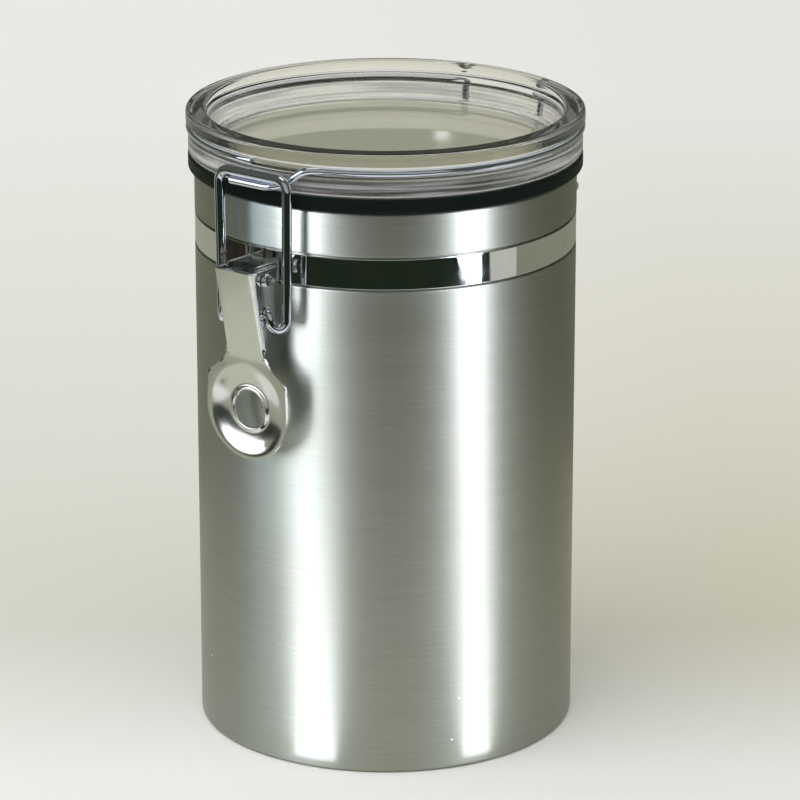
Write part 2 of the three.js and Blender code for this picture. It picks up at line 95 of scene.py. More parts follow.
# Wire that holds the lid
LID_WIRE_RADIUS = 1.2
LID_WIRE_RING = 62.3
LID_WIRE_Z = 197.95
WIRE_GROOVE_RADIUS = 1.45
WIRE_LEAVES_GROOVE = 18.75
WIRE_END = 3
CATCH = Vector((6, -66.2, 191.9))
CATCH_TIP_X = -9
CATCH_BEND = 2.2
WIRE_BEHIND_LEG = Vector((10, -63.5, 192.9))
WIRE_OUT_OF_GROOVE = Vector((17, -62.1, LID_WIRE_Z))
WIRE_BEND = 2
EYE_X = 17
WIRE_BACK_TURN_Y = 60.1
WIRE_BACK_BEND = 2.6
WIRE_LEG_BEND = 2.8
EYE_END = 380
CROSS_BAR_BEND = 2.2

# Latch: the lever turns on pivot A, the bail on pivot B in the lever's sides
PIVOT_A = Vector((0, -70, 163.4))
PIVOT_B = Vector((0, -69.5, 153))
LEVER_SHEET = 1
LEVER_EDGE = 0.2
LEVER_HALF_WIDTH = 7.5
LEVER_TOP_Y = -76.5
LEVER_TOP_Z = 166.4
LEVER_BEND_Y = -70.4
LEVER_BEND_Z = 136
LEVER_BEND_HALF = 2
FLANGE_REAR_Y = -69.8
FLANGE_WIDENS_Z = 148.6
FLANGE_LOBE_Y = -65.4
FLANGE_LOBE_Z = 149.6
FLANGE_LOBE_ROUND = 2.8
FLANGE_LEANS_Z = 159.5
FLANGE_TOP_Y = -63.6
FLANGE_CORNER = 1.2
FLANGE_START_Z = 138
FLANGE_FULL_Z = 141.5
FLANGE_TAPER_FOOT = (-70.1, 139.5)
PADDLE_Z = 120.1
PADDLE_RADIUS = 15.9
SHOULDER_OUTER = (15.5, 130.4)
SHOULDER_INNER = (9, 135.4)
SHOULDER_FILLET = 1.2
DISH_RADIUS = 15.5
THUMB_HOLE = 6
DISH_POINTS = (
    (15.5, 0), (14.9, 0.04), (14.2, 0.16), (13.2, 0.44), (12, 0.83), (10.5, 1.28), (9, 1.63),
    (8.1, 1.78), (7.5, 1.68), (7, 1.3), (6.6, 1.15), (6.2, 1.3), (6, 1.7),
)
HOLE_WALL_DEPTH = 1.85
LEVER_PIN_RADIUS = 1.2
LEVER_PIN_HEAD = 2.1
LEVER_PIN_HALF = 9.2
LEVER_PIN_EDGE = 0.8
BAIL_RADIUS = 1.6
BAIL_TOP = Vector((13.5, -66.1, 195))
BAIL_LEG_FOOT = Vector((12.9, -66, 150.4))
BAIL_HOOK_X = 9.4
BAIL_TIP_X = 5.6
BAIL_CORNER = 4.6

# Brackets and hinge
BRACKET_SHEET = 1
BRACKET_BACK = BAND_OUTER + GAP
BRACKET_BOTTOM = BAND_BOTTOM + GAP
EAR_REACH = 2.4
EAR_ROUND = 1.5
LATCH_BRACKET_HALF = 6.2
LATCH_EAR_TOP = 167.6
HINGE_BRACKET_HALF = 21
HINGE_EAR_TOP = 169
HINGE = Vector((0, 70, 166))
HINGE_PIN_RADIUS = 1.4
HINGE_PIN_END = 1.6
HINGE_PIN_HALF = 25
HINGE_PIN_EDGE = 0.5


# Outlines

def arc(x, y, radius, start, end, steps):
    """Points on an arc from one angle to another, in degrees, both ends included."""
    turns = [math.radians(start + (end - start) * i / steps) for i in range(steps + 1)]
    return [(x + radius * math.cos(t), y + radius * math.sin(t)) for t in turns]


def curve_through(before, corner, after, distance, steps):
    """A bend at a corner, which starts and ends at a distance from it."""
    before, corner, after = Vector(before), Vector(corner), Vector(after)
    start = corner + (before - corner).normalized() * distance
    end = corner + (after - corner).normalized() * distance
    shares = [i / steps for i in range(steps + 1)]
    return [start.lerp(corner, s).lerp(corner.lerp(end, s), s) for s in shares]


def rounded(corners, closed=True, steps=5):
    """An outline from corners (x, y) or (x, y, fillet): each fillet becomes a bend."""
    points = []
    count = len(corners)
    for i, corner in enumerate(corners):
        inside = closed or 0 < i < count - 1
        here = Vector(corner[:2])
        if len(corner) < 3 or not inside:
            points.append(tuple(here))
            continue
        before = Vector(corners[i - 1][:2])
        after = Vector(corners[(i + 1) % count][:2])
        reach = min(corner[2], 0.48 * (before - here).length, 0.48 * (after - here).length)
        points += [tuple(p) for p in curve_through(before, here, after, reach, steps)]
    return points


def finer(points, step):
    """The same open outline with no stretch longer than the step."""
    result = [tuple(points[0])]
    for a, b in zip(points, points[1:]):
        a, b = Vector(a), Vector(b)
        parts = max(1, math.ceil((b - a).length / step))
        result += [tuple(a.lerp(b, (i + 1) / parts)) for i in range(parts)]
    return result


def spline(points, steps):
    """A smooth curve through points, with the same number of steps between each two."""
    padded = [points[0], *points, points[-1]]
    result = []
    for p0, p1, p2, p3 in zip(padded, padded[1:], padded[2:], padded[3:]):
        a, b, c, d = Vector(p0), Vector(p1), Vector(p2), Vector(p3)
        for i in range(steps):
            t = i / steps
            pull = (c - a) * t + (2 * a - 5 * b + 4 * c - d) * t**2 + (3 * b - a - 3 * c + d) * t**3
            result.append(tuple(b + 0.5 * pull))
    return [*result, tuple(points[-1])]


def smooth_step(value, low, high):
    share = min(1, max(0, (value - low) / (high - low)))
    return share * share * (3 - 2 * share)


# Meshes

SHARP_ANGLE = math.radians(38)


def mesh_piece(name, vertices, faces, place=None):
    """An object from vertices in millimetres, with its faces turned outwards."""
    mesh = bpy.data.meshes.new(name)
    mesh.from_pydata([Vector(v) * MM for v in vertices], [], faces)
    shape = bmesh.new()
    shape.from_mesh(mesh)
    bmesh.ops.remove_doubles(shape, verts=shape.verts, dist=1e-7)
    bmesh.ops.recalc_face_normals(shape, faces=shape.faces)
    shape.to_mesh(mesh)
    shape.free()
    if place is not None:
        mesh.transform(place)
    piece = bpy.data.objects.new(name, mesh)
    bpy.context.scene.collection.objects.link(piece)
    return piece


def settle(piece):
    """Puts a piece's modifiers into its mesh."""
    graph = bpy.context.evaluated_depsgraph_get()
    mesh = bpy.data.meshes.new_from_object(piece.evaluated_get(graph))
    piece.modifiers.clear()
    piece.data = mesh
    return piece


def combine(piece, other, operation):
    """Joins another piece to a piece, or cuts it out, and deletes the other one."""
    boolean = piece.modifiers.new(operation, "BOOLEAN")
    boolean.operation = operation
    boolean.solver = "EXACT"
    boolean.object = other
    settle(piece)
    bpy.data.objects.remove(other)
    return piece


def shade(piece):
    """Smooth shading with crisp edges, in which the large faces stay flat."""
    piece.data.shade_smooth()
    piece.data.set_sharp_from_angle(angle=SHARP_ANGLE)
    weighted = piece.modifiers.new("flat faces", "WEIGHTED_NORMAL")
    weighted.keep_sharp = True
    return piece


def turned(name, outline, segments=ROUND, place=None, start=0, sweep=360):
    """A piece turned about Z from a closed outline of (radius, height) points."""
    whole = sweep == 360
    turns = segments if whole else segments + 1
    count = len(outline)
    vertices = []
    for i in range(turns):
        angle = math.radians(start + sweep * i / segments)
        vertices += [(r * math.sin(angle), -r * math.cos(angle), z) for r, z in outline]
    faces = []
    for i in range(segments):
        here, there = i * count, (i + 1) % turns * count
        for j in range(count):
            k = (j + 1) % count
            if outline[j][0] == 0 and outline[k][0] == 0:
                continue
            faces.append((here + j, here + k, there + k, there + j))
    if not whole:
        faces += [tuple(range(count)), tuple(range(segments * count, turns * count))]
    return mesh_piece(name, vertices, faces, place)


def wire(name, path, radius):
    """A round wire along a path, with its end edges rounded."""
    path = [Vector(p) for p in path]
    ahead = [*path[1:], path[-1]]
    behind = [path[0], *path[:-1]]
    tangents = [(a - b).normalized() for a, b in zip(ahead, behind)]
    side = tangents[0].orthogonal().normalized()
    rings = []
    for i, (centre, tangent) in enumerate(zip(path, tangents)):
        if i:
            side = tangents[i - 1].rotation_difference(tangent) @ side
        rings.append((centre, tangent, side.copy()))
    edge = END_DEPTH * radius
    first, last = rings[0], rings[-1]
    loops = [(first[0] + first[1] * edge * depth, first, radius * share) for share, depth in END_ROUND]
    loops += [(ring[0], ring, radius) for ring in rings[1:-1]]
    for share, depth in reversed(END_ROUND):
        loops.append((last[0] - last[1] * edge * depth, last, radius * share))
    vertices = []
    for centre, (_, tangent, across), size in loops:
        up = tangent.cross(across)
        for x, y in arc(0, 0, size, 0, 360 - 360 / WIRE_ROUND, WIRE_ROUND - 1):
            vertices.append(centre + across * x + up * y)
    faces = [tuple(range(WIRE_ROUND)), tuple(range(len(vertices) - WIRE_ROUND, len(vertices)))]
    for i in range(len(loops) - 1):
        for j in range(WIRE_ROUND):
            k = (j + 1) % WIRE_ROUND
            a, b = i * WIRE_ROUND, (i + 1) * WIRE_ROUND
            faces.append((a + j, a + k, b + k, b + j))
    return mesh_piece(name, vertices, faces)


ACROSS = Matrix(((0, 0, 1, 0), (1, 0, 0, 0), (0, 1, 0, 0), (0, 0, 0, 1)))


def side_plate(name, outline, x, thickness, edge, holes=()):
    """A flat plate whose outline is in y and z, centred on x, with rounded edges."""
    shape = bpy.data.curves.new(name, "CURVE")
    shape.dimensions = "2D"
    shape.fill_mode = "BOTH"
    shape.extrude = (thickness / 2 - edge) * MM
    shape.bevel_depth = edge * MM
    shape.bevel_resolution = 2
    shape.offset = -edge * MM
    for points in (outline, *holes):
        line = shape.splines.new("POLY")
        line.points.add(len(points) - 1)
        line.use_cyclic_u = True
        for spot, (y, z) in zip(line.points, points):
            spot.co = (y * MM, z * MM, 0, 1)
    flat = bpy.data.objects.new(name, shape)
    bpy.context.scene.collection.objects.link(flat)
    bpy.context.view_layer.update()
    mesh = bpy.data.meshes.new_from_object(flat.evaluated_get(bpy.context.evaluated_depsgraph_get()))
    mesh.transform(Matrix.Translation((x * MM, 0, 0)) @ ACROSS)
    bpy.data.objects.remove(flat)
    plate = bpy.data.objects.new(name, mesh)
    bpy.context.scene.collection.objects.link(plate)
    shape = bmesh.new()
    shape.from_mesh(mesh)
    bmesh.ops.remove_doubles(shape, verts=shape.verts, dist=1e-6)
    bmesh.ops.recalc_face_normals(shape, faces=shape.faces)
    shape.to_mesh(mesh)
    shape.free()
    return plate


def rod(name, y, z, radius, half):
    """A plain bar along X, for cutting holes."""
    outline = [(0, -half), (radius, -half), (radius, half), (0, half)]
    place = Matrix.Translation((0, y * MM, z * MM)) @ Matrix.Rotation(math.radians(90), 4, "Y")
    return turned(name, outline, SMALL_ROUND, place)


# Pieces

def can():
    inner = BODY_RADIUS - SHEET
    bead = (BODY_RADIUS - RIM_BEAD, BODY_TOP - RIM_BEAD)
    ring_in = BASE_RING_RADIUS - BASE_RING_WIDTH / 2
    ring_out = BASE_RING_RADIUS + BASE_RING_WIDTH / 2
    low, high = BAND_BOTTOM - GAP, BAND_TOP + GAP
    floor = SHEET + BASE_RING_DEPTH
    outside = rounded([
        (0, 0),
        (ring_in, 0, 0.5),
        (ring_in + SHEET, BASE_RING_DEPTH, 0.4),
        (ring_out - SHEET, BASE_RING_DEPTH, 0.4),
        (ring_out, 0, 0.5),
        (BODY_RADIUS, 0, BASE_EDGE),
        (BODY_RADIUS, low - GROOVE_SHOULDER, 0.25),
        (GROOVE_FLOOR, low, 0.1),
        (GROOVE_FLOOR, high, 0.1),
        (BODY_RADIUS, high + GROOVE_SHOULDER, 0.25),
        (BODY_RADIUS, bead[1]),
    ], closed=False)
    rim = arc(*bead, RIM_BEAD, 0, 225, 20)[1:]
    inside = rounded([
        (inner, bead[1] - RIM_BEAD),
        (inner, high + SHEET + GAP, 0.5),
        (GROOVE_FLOOR - SHEET, high + GAP, 0.5),
        (GROOVE_FLOOR - SHEET, low - GAP, 0.5),
        (inner, low - SHEET - GAP, 0.5),
        (inner, SHEET, BASE_EDGE),
        (ring_out, SHEET, 0.4),
        (ring_out - SHEET, floor, 0.4),
        (ring_in + SHEET, floor, 0.4),
        (ring_in, SHEET, 0.4),
        (0, SHEET),
    ], closed=False)
    return turned("can", outside + rim + inside)


def band():
    outline = rounded([
        (BAND_INNER, BAND_BOTTOM),
        (BAND_OUTER, BAND_BOTTOM, BAND_EDGE),
        (BAND_OUTER, BAND_TOP, BAND_EDGE),
        (BAND_INNER, BAND_TOP),
    ])
    half_split = math.degrees(BAND_SPLIT / 2 / BODY_RADIUS)
    return turned("band", outline, ROUND, None, half_split, 360 - 2 * half_split)


def lid_shell():
    low = LID_WIRE_Z - WIRE_GROOVE_RADIUS
    high = LID_WIRE_Z + WIRE_GROOVE_RADIUS
    lower = rounded([
        (0, LID_PLATE_BOTTOM),
        (PLUG_INNER_TOP, LID_PLATE_BOTTOM, 0.8),
        (PLUG_INNER, PLUG_BOTTOM, 0.5),
        (PLUG_RADIUS, PLUG_BOTTOM, 0.8),
        (PLUG_TOP_RADIUS, LID_FLANGE_BOTTOM, 0.3),
        (LID_FLANGE_RADIUS, LID_FLANGE_BOTTOM, 1),
        (LID_FLANGE_RADIUS, low - 0.4, 0.3),
        (LID_WIRE_RING + 0.2, low, 0.3),
        (LID_WIRE_RING, low),
    ], closed=False)
    groove = arc(LID_WIRE_RING, LID_WIRE_Z, WIRE_GROOVE_RADIUS, 270, 90, 14)[1:]
    upper = rounded([
        (LID_WIRE_RING, high),
        (LID_RIM_RADIUS, high + 0.5, 0.5),
        (LID_RIM_RADIUS, LID_TOP, 1.6),
        (LID_RIM_INNER, LID_TOP, 1.2),
        (LID_DISH_RADIUS, LID_DISH_FLOOR, 2.4),
        (0, LID_DISH_FLOOR),
    ], closed=False, steps=8)[1:]
    return turned("lid_shell", lower + groove + upper)


def seal():
    inner = PLUG_TOP_RADIUS + GAP
    bottom, top = BODY_TOP + GAP, LID_FLANGE_BOTTOM - GAP
    outline = rounded([
        (inner, bottom, 0.3),
        (GASKET_RADIUS, bottom, GASKET_BEVEL),
        (GASKET_RADIUS, top, GASKET_BEVEL),
        (inner, top, 0.3),
    ])
    return turned("seal", outline)


def mirrored(path):
    """A path's mirror image across x = 0."""
    return [Vector((-p.x, p.y, p.z)) for p in path]


def lid_bow():
    """The lid's wire, from its end in the groove round by the hinge pin to the catch under the bail."""
    def ring(degrees):
        angle = math.radians(degrees)
        return Vector((LID_WIRE_RING * math.sin(angle), -LID_WIRE_RING * math.cos(angle), LID_WIRE_Z))

    def groove(start, end):
        steps = round((end - start) / 2)
        return [ring(start + (end - start) * (i + 0.5) / steps) for i in range(steps)]

    eye_radius = HINGE_PIN_RADIUS + GAP + LID_WIRE_RADIUS
    leg_y = HINGE.y - eye_radius
    back_leaves = 180 - WIRE_LEAVES_GROOVE
    back_turn = Vector((EYE_X, WIRE_BACK_TURN_Y, LID_WIRE_Z))
    leg_top = Vector((EYE_X, leg_y, LID_WIRE_Z))
    leg_foot = Vector((EYE_X, leg_y, HINGE.z))
    eye = [Vector((EYE_X, y, z)) for y, z in arc(HINGE.y, HINGE.z, eye_radius, 180, EYE_END, 36)]
    along = math.radians(EYE_END + 90)
    bar_end = eye[-1] + CROSS_BAR_BEND * Vector((0, math.cos(along), math.sin(along)))
    bar_middle = Vector((0, bar_end.y, bar_end.z))
    back = [
        *curve_through(ring(back_leaves), back_turn, leg_top, WIRE_BACK_BEND, 10),
        *curve_through(back_turn, leg_top, leg_foot, WIRE_LEG_BEND, 10),
        *eye[:-1],
        *curve_through(eye[-1], bar_end, bar_middle, CROSS_BAR_BEND, 10),
    ]
    catch_tip = Vector((CATCH_TIP_X, CATCH.y, CATCH.z))
    catch_side = [
        catch_tip,
        *curve_through(catch_tip, CATCH, WIRE_BEHIND_LEG, CATCH_BEND, 8),
        *curve_through(CATCH, WIRE_BEHIND_LEG, WIRE_OUT_OF_GROOVE, WIRE_BEND, 8),
        *curve_through(WIRE_BEHIND_LEG, WIRE_OUT_OF_GROOVE, ring(WIRE_LEAVES_GROOVE), WIRE_BEND, 8),
        *groove(WIRE_LEAVES_GROOVE, back_leaves),
        *back,
    ]
    plain_side = [ring(WIRE_END), *groove(WIRE_END, back_leaves), *back]
    return wire("lid_bow", [*mirrored(plain_side), *reversed(catch_side)], LID_WIRE_RADIUS)


def bail_loop():
    tip = Vector((BAIL_TIP_X, PIVOT_B.y, PIVOT_B.z))
    elbow = Vector((BAIL_HOOK_X, PIVOT_B.y, PIVOT_B.z))
    hook_top = Vector((BAIL_HOOK_X, PIVOT_B.y, BAIL_LEG_FOOT.z))
    middle = Vector((0, BAIL_TOP.y, BAIL_TOP.z))
    centre = (hook_top + BAIL_LEG_FOOT) / 2
    across = BAIL_LEG_FOOT - centre
    down = Vector((0, 0, across.length))
    hook = [centre + across * x + down * y for x, y in arc(0, 0, 1, 180, 360, 24)]
    half = [
        tip,
        *curve_through(tip, elbow, hook_top, PIVOT_B.z - BAIL_LEG_FOOT.z, 12)[:-1],
        *hook,
        *curve_through(BAIL_LEG_FOOT, BAIL_TOP, middle, BAIL_CORNER, 16),
    ]
    return wire("bail_loop", [*mirrored(half), *reversed(half)], BAIL_RADIUS)


# Lever: a sheet that is modelled by its outer face and then given its thickness

def face_y(z):
    """y of the sheet's outer face: upright on the paddle, leaning out up the stem."""
    slope = (LEVER_TOP_Y - LEVER_BEND_Y) / (LEVER_TOP_Z - LEVER_BEND_Z)
    past = z - (LEVER_BEND_Z - LEVER_BEND_HALF)
    if past <= 0:
        return LEVER_BEND_Y
    if past < 2 * LEVER_BEND_HALF:
        return LEVER_BEND_Y + slope * past * past / (4 * LEVER_BEND_HALF)
    return LEVER_BEND_Y + slope * (z - LEVER_BEND_Z)


def flange_edge():
    """The flange's rear edge from its foot up, as (y, z), with the lobe that holds both pivots."""
    low = FLANGE_LOBE_Z + FLANGE_LOBE_ROUND
    corner = arc(FLANGE_LOBE_Y - FLANGE_LOBE_ROUND, low, FLANGE_LOBE_ROUND, -90, 0, 12)
    line = [
        FLANGE_TAPER_FOOT,
        (FLANGE_REAR_Y, FLANGE_FULL_Z),
        (FLANGE_REAR_Y, FLANGE_WIDENS_Z),
        *corner,
        (FLANGE_LOBE_Y, FLANGE_LEANS_Z),
        (FLANGE_TOP_Y, LEVER_TOP_Z),
    ]
    return finer(line, FINE_STEP)


def flange_rear(z):
    """y of the flange's rear edge at a height."""
    edge = flange_edge()
    for (y0, z0), (y1, z1) in zip(edge, edge[1:]):
        if z <= z1:
            return y0 + (y1 - y0) * (z - z0) / (z1 - z0)
    return edge[-1][0]


def flange_points(z):
    """Points from the web's side round the bend to the flange's rear edge, as (x, y)."""
    bend_length = math.pi / 2 * FLANGE_CORNER
    ready = smooth_step(z, FLANGE_START_Z, FLANGE_FULL_Z)
    angle = max(1e-3, math.pi / 2 * ready)
    radius = bend_length / angle
    depth = max(flange_rear(max(z, FLANGE_FULL_Z)) - face_y(z), FLANGE_CORNER)
    full = bend_length + depth - FLANGE_CORNER
    length = FLANGE_CORNER + (full - FLANGE_CORNER) * ready
    bent = min(bend_length, 0.8 * length)
    stations = [bent * i / 6 for i in range(1, 7)]
    stations += [bent + (length - bent) * i / 4 for i in range(1, 5)]
    start = LEVER_HALF_WIDTH - FLANGE_CORNER
    points = []
    for along in stations:
        turn = min(along, bend_length) / radius
        past = max(0, along - bend_length)
        x = start + radius * math.sin(turn) + past * math.cos(angle)
        y = face_y(z) + radius * (1 - math.cos(turn)) + past * math.sin(angle)
        points.append((x, y))
    return points


def stem_row(z):
    """One row of the stem across the web and both flanges, from +X to -X."""
    web_half = LEVER_HALF_WIDTH - FLANGE_CORNER
    parts = 10
    web = [(web_half - 2 * web_half * i / parts, face_y(z)) for i in range(parts + 1)]
    flange = flange_points(z)
    row = [*reversed(flange), *web, *((-x, y) for x, y in flange)]
    return [Vector((x, y, z)) for x, y in row]


def dish_depth():
    return spline(DISH_POINTS, 4)


def thumb_lever():
    edge = rounded([
        (PADDLE_RADIUS, PADDLE_Z),
        (*SHOULDER_OUTER, SHOULDER_FILLET),
        (*SHOULDER_INNER, SHOULDER_FILLET),
        (LEVER_HALF_WIDTH, FLANGE_START_Z),
    ], closed=False)
    right = [*arc(0, PADDLE_Z, PADDLE_RADIUS, -90, 0, 30)[:-1], *finer(edge, 1)]
    left = [(-x, z) for x, z in reversed(right)]
    top = [(p.x, p.z) for p in stem_row(FLANGE_START_Z)]
    rim = [*right, *top[1:-1], *left[:-1]]
    rings = [[Vector((x, face_y(z), z)) for x, z in rim]]
    for share in (0.3, 0.65):
        rings.append([])
        for x, z in rim:
            out = Vector((x, z - PADDLE_Z))
            spot = out.lerp(out.normalized() * DISH_RADIUS, share)
            rings[-1].append(Vector((spot.x, face_y(spot.y + PADDLE_Z), spot.y + PADDLE_Z)))
    for radius, depth in [*dish_depth(), (THUMB_HOLE, HOLE_WALL_DEPTH)]:
        rings.append([])
        for x, z in rim:
            spot = Vector((x, z - PADDLE_Z)).normalized() * radius
            rings[-1].append(Vector((spot.x, face_y(spot.y + PADDLE_Z) + depth, spot.y + PADDLE_Z)))
    count = len(rim)
    vertices = [p for ring in rings for p in ring]
    faces = []
    for i in range(len(rings) - 1):
        for j in range(count):
            k = (j + 1) % count
            faces.append((i * count + j, i * count + k, (i + 1) * count + k, (i + 1) * count + j))
    stem_foot = (FLANGE_TAPER_FOOT[0], FLANGE_START_Z)
    heights = sorted({z for _, z in finer([stem_foot, *flange_edge()], ROW_STEP)})
    width = len(top)
    first = len(vertices)
    for z in heights:
        vertices += stem_row(z)
    for i in range(len(heights) - 1):
        for j in range(width - 1):
            a = first + i * width + j
            faces.append((a, a + 1, a + width + 1, a + width))
    piece = mesh_piece("thumb_lever", vertices, faces)
    face_outwards(piece, Vector((0, -1, 0)))
    thick = piece.modifiers.new("sheet", "SOLIDIFY")
    thick.thickness = LEVER_SHEET * MM
    thick.offset = -1
    thick.use_even_offset = True
    soft = piece.modifiers.new("edges", "BEVEL")
    soft.width = LEVER_EDGE * MM
    soft.segments = 3
    soft.limit_method = "ANGLE"
    soft.angle_limit = math.radians(50)
    settle(piece)
    combine(piece, rod("cut", PIVOT_A.y, PIVOT_A.z, LEVER_PIN_RADIUS + GAP, 12), "DIFFERENCE")
    return combine(piece, rod("cut", PIVOT_B.y, PIVOT_B.z, BAIL_RADIUS + GAP, 12), "DIFFERENCE")


def face_outwards(piece, outside):
    """Turns an open sheet so that its middle faces point to the outside."""
    total = sum((p.normal * p.area for p in piece.data.polygons), Vector())
    if total.dot(outside) < 0:
        piece.data.flip_normals()


# Brackets and pins

def bracket(name, half, pivot, pin_radius, ear_top, place=None):
    """A curved base against the band and two ears that carry a pin, facing -Y."""
    outer = BRACKET_BACK + BRACKET_SHEET
    turn = math.degrees(math.asin(half / outer))
    base_outline = rounded([
        (BRACKET_BACK, BRACKET_BOTTOM, 0.15),
        (outer, BRACKET_BOTTOM, 0.2),
        (outer, ear_top, 0.2),
        (BRACKET_BACK, ear_top, 0.15),
    ], steps=3)
    base = turned(name, base_outline, SMALL_ROUND, None, -turn, 2 * turn)
    root = -math.sqrt(outer**2 - half**2) + BRACKET_SHEET / 2
    pivot_y = -abs(pivot.y)
    front = pivot_y - EAR_REACH
    ear = rounded([
        (root, BRACKET_BOTTOM),
        (root, ear_top),
        (front, ear_top, EAR_ROUND),
        (front, BRACKET_BOTTOM, EAR_ROUND),
    ])
    hole = arc(pivot_y, pivot.z, pin_radius + GAP, 0, 345, 23)
    for side in (-1, 1):
        x = side * (half - BRACKET_SHEET / 2)
        plate = side_plate(name + "_ear", ear, x, BRACKET_SHEET, 0.15, [hole])
        combine(base, plate, "UNION")
    if place is not None:
        base.data.transform(place)
    return base


def headed_pin(name, centre, radius, head, head_from, half, edge):
    """A pin along X with an upset end on both sides."""
    end = rounded([
        (radius, 0),
        (radius, head_from),
        (head, head_from, 0.15),
        (head, half, edge),
        (0, half),
    ], closed=False)
    start = [(r, -x) for r, x in reversed(end)]
    place = Matrix.Translation(centre * MM) @ Matrix.Rotation(math.radians(90), 4, "Y")
    return turned(name, start + end[1:], SMALL_ROUND, place)


# Finishes

class Finish:
    """A material and the nodes that feed its shader."""

    def __init__(self, name, values):
        self.material = bpy.data.materials.new(name)
        self.material.use_nodes = True
        self.tree = self.material.node_tree
        self.shader = self.tree.nodes["Principled BSDF"]
        for socket, value in values.items():
            self.shader.inputs[socket].default_value = value

    def node(self, kind, inputs=None, **settings):
        node = self.tree.nodes.new("ShaderNode" + kind)
        for key, value in settings.items():
            setattr(node, key, value)
        for key, value in (inputs or {}).items():
            if isinstance(value, bpy.types.NodeSocket):
                self.tree.links.new(value, node.inputs[key])
            else:
                node.inputs[key].default_value = value
        return node

    def feed(self, socket, output):
        self.tree.links.new(output, self.shader.inputs[socket])

    def place(self, x, y, z):
        """Object coordinates in which one unit is this many millimetres along each axis."""
        spot = self.node("TexCoord").outputs["Object"]
        scale = tuple(1 / (size * MM) for size in (x, y, z))
        return self.node("Mapping", {"Vector": spot, "Scale": scale}).outputs["Vector"]

    def noise(self, size, detail=2, roughness=0.5):
        """Noise whose features are about this many millimetres along x, y and z."""
        inputs = {"Vector": self.place(*size), "Scale": 1, "Detail": detail, "Roughness": roughness}
        return self.node("TexNoise", inputs).outputs["Fac"]

    def ranged(self, value, low, high, to_low, to_high):
        """A value from one range carried over to another, and held at its ends."""
        limits = {"From Min": low, "From Max": high, "To Min": to_low, "To Max": to_high}
        return self.node("MapRange", {"Value": value, **limits}).outputs["Result"]

    def blended(self, share, first, second):
        mix = self.node("Mix", data_type="RGBA")
        for index, value in ((0, share), (6, first), (7, second)):
            if isinstance(value, bpy.types.NodeSocket):
                self.tree.links.new(value, mix.inputs[index])
            else:
                mix.inputs[index].default_value = value
        return mix.outputs[2]

    def sum_of(self, first, second, operation="ADD"):
        """Two values added, or joined by another operation of the Math node."""
        return self.node("Math", {0: first, 1: second}, operation=operation).outputs[0]

    def product(self, first, *others):
        for other in others:
            first = self.sum_of(first, other, "MULTIPLY")
        return first

    def bump(self, height, depth, strength=1.0):
        inputs = {"Height": height, "Distance": depth * MM, "Strength": strength}
        self.feed("Normal", self.node("Bump", inputs).outputs["Normal"])


def brushed_steel():
    finish = Finish("brushed steel", {"Metallic": 1, "Anisotropic": 0.67, "Anisotropic Rotation": 0.25})
    lines = finish.noise((26, 26, 0.35), detail=3, roughness=0.65)
    bands = finish.noise((60, 60, 3.5), detail=2)
    dull, bright, worn_through = (0.29, 0.30, 0.25, 1), (0.335, 0.345, 0.29, 1), (0.9, 0.9, 0.88, 1)
    tone = finish.blended(finish.ranged(lines, 0.3, 0.7, 0, 1), dull, bright)
    cells = finish.node("TexVoronoi", {"Vector": finish.place(17, 17, 17), "Scale": 1.0})
    rare = finish.noise((40, 40, 30), detail=1)
    speck = finish.product(
        finish.ranged(cells.outputs["Distance"], 0.018, 0.028, 1, 0),
        finish.ranged(rare, 0.52, 0.56, 0, 1),
    )
    finish.feed("Base Color", finish.blended(speck, tone, worn_through))
    finish.feed("Roughness", finish.ranged(bands, 0.3, 0.7, 0.385, 0.415))
    finish.feed("Tangent", finish.node("Tangent", direction_type="RADIAL", axis="Z").outputs["Tangent"])
    finish.bump(lines, 0.004, 0.25)
    return finish.material


def polished_steel(name, ripple, depth, smooth=0.03, rough=0.09, tone=(0.8, 0.81, 0.81, 1)):
    finish = Finish(name, {"Metallic": 1, "Base Color": tone})
    waves = finish.noise((ripple, ripple, ripple), detail=1)
    smudge = finish.noise((6, 6, 6), detail=3)
    finish.feed("Roughness", finish.ranged(smudge, 0.35, 0.75, smooth, rough))
    finish.bump(waves, depth, 1.0)
    return finish.material


def black_rubber():
    finish = Finish("black rubber", {"Specular IOR Level": 0.12})
    grain = finish.noise((0.5, 0.5, 0.5), detail=3)
    dust = finish.noise((9, 9, 3), detail=4)
    finish.feed("Base Color", finish.blended(dust, (0.003, 0.008, 0.007, 1), (0.007, 0.014, 0.012, 1)))
    finish.feed("Roughness", finish.ranged(grain, 0.3, 0.7, 0.42, 0.55))
    finish.bump(grain, 0.02, 0.3)
    return finish.material


